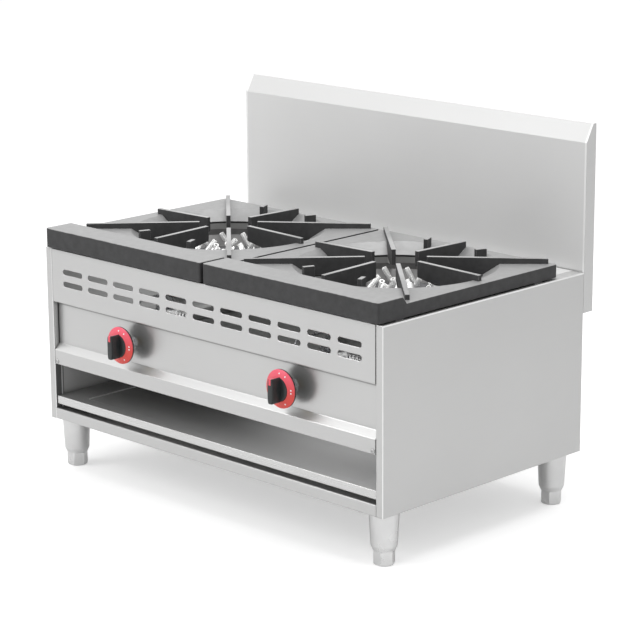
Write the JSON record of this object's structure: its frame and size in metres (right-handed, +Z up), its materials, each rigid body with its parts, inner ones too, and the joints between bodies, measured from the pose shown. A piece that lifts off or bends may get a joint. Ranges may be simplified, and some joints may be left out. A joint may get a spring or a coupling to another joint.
{
  "type": "gas wok range",
  "caption": "Low stainless gas wok range with ring jet burners under lift-off cast grates, push-and-turn knobs, a slotted front, a pull-out drip tray and screw feet.",
  "frame": {"origin": "on the floor under the middle of the whole range", "axes": "+X to the right seen from the front, +Y to the back, +Z up"},
  "size_m": [0.914, 0.625, 0.732],
  "materials": {
    "stainless_sheet": "brushed stainless sheet",
    "cast_iron": "bare cast iron, ground on top",
    "burner_iron": "grey cast iron",
    "jet_metal": "turned bright metal",
    "zinc_steel": "zinc plated",
    "gas_pipe": "galvanised pipe",
    "brass": "turned brass",
    "black_plastic": "satin black",
    "red_plastic": "satin red",
    "leg_metal": "satin plated steel"
  },
  "bodies": {
    "root": {"side_panel_left": "stainless_sheet", "side_panel_right": "stainless_sheet", "vent_panel": "stainless_sheet", "control_panel": "stainless_sheet", "base_rail_front": "stainless_sheet", "base_rail_rear": "stainless_sheet", "back_panel": "stainless_sheet", "burner_deck": "stainless_sheet", "rear_deck": "stainless_sheet", "grate_rail": "stainless_sheet", "backsplash": "stainless_sheet", "backsplash_cover": "stainless_sheet", "backsplash_brackets": "stainless_sheet", "liner_left": "stainless_sheet", "liner_right": "stainless_sheet", "heat_shield": "stainless_sheet", "tray_runners": "stainless_sheet", "burner_bars": "stainless_sheet", "burner_bowl_left": "stainless_sheet", "burner_bowl_right": "stainless_sheet", "leg_plates": "stainless_sheet", "backsplash_bolts": "zinc_steel", "casing_screws": "zinc_steel", "leg_nuts": "zinc_steel", "valve_nuts": "zinc_steel", "manifold_pipe": "gas_pipe", "supply_pipe": "gas_pipe", "burner_body_left": "burner_iron", "burner_jets_left": "jet_metal", "venturi_left": "burner_iron", "injector_left": "brass", "gas_valve_left": "brass", "pilot_burner_left": "zinc_steel", "burner_body_right": "burner_iron", "burner_jets_right": "jet_metal", "venturi_right": "burner_iron", "injector_right": "brass", "gas_valve_right": "brass", "pilot_burner_right": "zinc_steel", "leg_sleeve_front_left": "leg_metal", "leg_sleeve_front_right": "leg_metal", "leg_sleeve_rear_left": "leg_metal", "leg_sleeve_rear_right": "leg_metal"},
    "grate_left": {"grate_left": "cast_iron"},
    "grate_right": {"grate_right": "cast_iron"},
    "drip_tray": {"drip_tray": "stainless_sheet"},
    "valve_plunger_left": {"valve_plunger_left": "brass"},
    "knob_left": {"knob_left": "black_plastic", "knob_ring_left": "red_plastic", "valve_stem_left": "brass"},
    "valve_plunger_right": {"valve_plunger_right": "brass"},
    "knob_right": {"knob_right": "black_plastic", "knob_ring_right": "red_plastic", "valve_stem_right": "brass"},
    "air_shutter_left": {"air_shutter_left": "zinc_steel"},
    "air_shutter_right": {"air_shutter_right": "zinc_steel"},
    "foot_front_left": {"leg_foot_front_left": "leg_metal"},
    "foot_front_right": {"leg_foot_front_right": "leg_metal"},
    "foot_rear_left": {"leg_foot_rear_left": "leg_metal"},
    "foot_rear_right": {"leg_foot_rear_right": "leg_metal"}
  },
  "joints": [
    {"name": "grate_left_lift", "type": "slide", "parent": "root", "child": "grate_left", "axis": [0, 0, 1], "range_m": [0, 0.06]},
    {"name": "grate_right_lift", "type": "slide", "parent": "root", "child": "grate_right", "axis": [0, 0, 1], "range_m": [0, 0.06]},
    {"name": "drip_tray_slide", "type": "slide", "parent": "root", "child": "drip_tray", "axis": [0, -1, 0], "range_m": [0, 0.4]},
    {"name": "knob_left_push", "type": "slide", "parent": "root", "child": "valve_plunger_left", "axis": [0, 1, 0], "range_m": [0, 0.003], "stiffness_N_per_m": 1500, "springref_m": -0.002},
    {"name": "knob_left_turn", "type": "hinge", "parent": "valve_plunger_left", "child": "knob_left", "pos_m": [-0.22, -0.2685, 0.2955], "axis": [0, -1, 0], "range_deg": [0, 180]},
    {"name": "knob_right_push", "type": "slide", "parent": "root", "child": "valve_plunger_right", "axis": [0, 1, 0], "range_m": [0, 0.003], "stiffness_N_per_m": 1500, "springref_m": -0.002},
    {"name": "knob_right_turn", "type": "hinge", "parent": "valve_plunger_right", "child": "knob_right", "pos_m": [0.22, -0.2685, 0.2955], "axis": [0, -1, 0], "range_deg": [0, 180]},
    {"name": "air_shutter_left_turn", "type": "hinge", "parent": "root", "child": "air_shutter_left", "pos_m": [-0.227, -0.1585, 0.345], "axis": [0, 1, 0], "range_deg": [0, 45]},
    {"name": "air_shutter_right_turn", "type": "hinge", "parent": "root", "child": "air_shutter_right", "pos_m": [0.227, -0.1585, 0.345], "axis": [0, 1, 0], "range_deg": [0, 45]},
    {"name": "foot_front_left_screw", "type": "slide", "parent": "root", "child": "foot_front_left", "axis": [0, 0, -1], "range_m": [0, 0.025]},
    {"name": "foot_front_right_screw", "type": "slide", "parent": "root", "child": "foot_front_right", "axis": [0, 0, -1], "range_m": [0, 0.025]},
    {"name": "foot_rear_left_screw", "type": "slide", "parent": "root", "child": "foot_rear_left", "axis": [0, 0, -1], "range_m": [0, 0.025]},
    {"name": "foot_rear_right_screw", "type": "slide", "parent": "root", "child": "foot_rear_right", "axis": [0, 0, -1], "range_m": [0, 0.025]}
  ]
}
